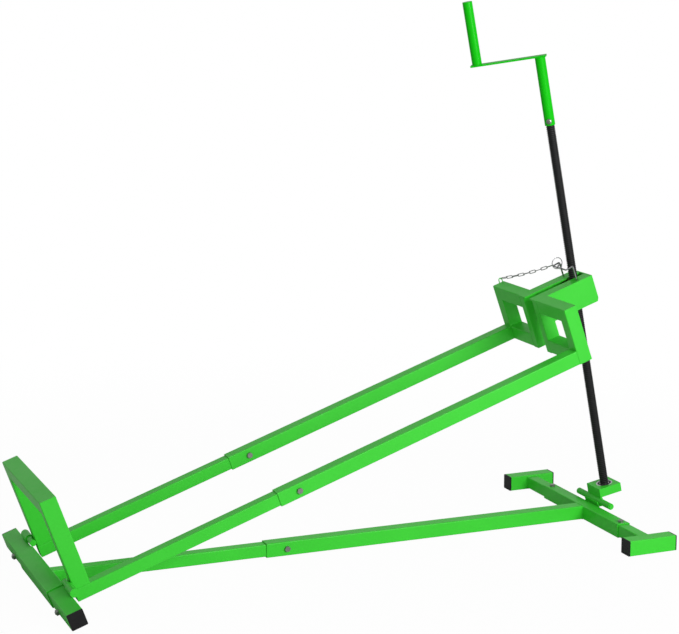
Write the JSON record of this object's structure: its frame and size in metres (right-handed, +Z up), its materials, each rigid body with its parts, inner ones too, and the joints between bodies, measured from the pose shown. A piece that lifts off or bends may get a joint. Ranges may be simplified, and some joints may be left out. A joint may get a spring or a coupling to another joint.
{
  "type": "lawn mower lift jack",
  "caption": "Screw-driven jack for tipping up a ride-on mower: ground frame, hinged telescopic arms with wheel cradles, and a hand-cranked threaded spindle with a safety clip.",
  "frame": {"origin": "on the ground, under the middle of the overall box", "axes": "+X points from the arm hinge to the spindle end, +Z is up, Y runs across the jack; XZ is the mirror plane of the welded frame"},
  "size_m": [1.5522, 0.66, 1.315],
  "materials": {
    "green_paint": "glossy green powder coat",
    "black_plastic": "black moulded plastic",
    "black_thread": "oiled black oxide on a rolled thread",
    "zinc": "zinc plated",
    "bearing_steel": "ground steel",
    "bright_wire": "nickel-plated wire",
    "chain_steel": "zinc-plated chain wire",
    "brass_nut": "turned",
    "seal_rubber": "matt black rubber lip"
  },
  "bodies": {
    "base": {"front_sleeve": "green_paint", "front_foot_near": "green_paint", "front_foot_far": "green_paint", "front_knuckle_near": "green_paint", "front_knuckle_far": "green_paint", "front_caps": "black_plastic", "front_bolts": "zinc", "spine_inner": "green_paint", "spine_outer": "green_paint", "spine_bolt": "zinc", "spine_nut": "zinc", "rear_sleeve": "green_paint", "rear_inner_near": "green_paint", "rear_inner_far": "green_paint", "rear_foot_near": "green_paint", "rear_foot_far": "green_paint", "rear_caps": "black_plastic", "rear_screws": "zinc", "saddle_lug": "green_paint"},
    "arms": {"arm_inner_near": "green_paint", "arm_inner_far": "green_paint", "arm_outer_near": "green_paint", "arm_outer_far": "green_paint", "arm_bolts": "zinc", "arm_nuts": "zinc", "hinge_rod_near": "green_paint", "hinge_rod_far": "green_paint", "stop_upright_near": "green_paint", "stop_upright_far": "green_paint", "stop_bar": "green_paint", "cradle_outer_near": "green_paint", "cradle_outer_far": "green_paint", "cradle_top_near": "green_paint", "cradle_top_far": "green_paint", "cradle_bottom_near": "green_paint", "cradle_bottom_far": "green_paint", "cradle_inner_near": "green_paint", "cradle_inner_far": "green_paint", "head_channel": "green_paint", "chain_eyelet": "green_paint", "safety_chain": "chain_steel"},
    "nut": {"lifting_nut": "brass_nut"},
    "carrier": {"pivot_tube": "green_paint", "pivot_pin": "green_paint", "bearing_block": "green_paint", "bearing_outer": "bearing_steel", "bearing_seal": "seal_rubber"},
    "spindle": {"spindle": "black_thread", "bearing_inner": "bearing_steel", "spindle_washer": "bearing_steel", "spindle_nut": "bearing_steel", "crank_socket": "green_paint", "crank_arm": "green_paint", "crank_handle": "green_paint", "crank_screw": "zinc"},
    "clip": {"safety_clip": "bright_wire", "split_ring": "bright_wire"}
  },
  "joints": [
    {"name": "arm_lift", "type": "hinge", "parent": "base", "child": "arms", "pos_m": [-0.71662, 0, 0.05878], "axis": [0, -1, 0], "range_deg": [-16.5, 15.5]},
    {"name": "spindle_tilt", "type": "hinge", "parent": "base", "child": "carrier", "pos_m": [0.71667, 0, 0.0467], "axis": [0, -1, 0], "range_deg": [-8.5, 8]},
    {"name": "nut_tilt", "type": "hinge", "parent": "arms", "child": "nut", "pos_m": [0.6442, 0, 0.60935], "axis": [0, -1, 0], "range_deg": [-7.7, 8.2]},
    {"name": "crank_turn", "type": "hinge", "parent": "carrier", "child": "spindle", "pos_m": [0.7493, 0, 0.05286], "axis": [-0.1856, 0, 0.9826], "continuous": true},
    {"name": "clip_pull", "type": "slide", "parent": "arms", "child": "clip", "axis": [-0.3277, 0, 0.9448], "range_m": [0, 0.03]}
  ],
  "couplings": [
    {"joint": "spindle_tilt", "follows": "arm_lift", "ratio": 0.5095},
    {"joint": "nut_tilt", "follows": "arm_lift", "ratio": -0.4905}
  ]
}
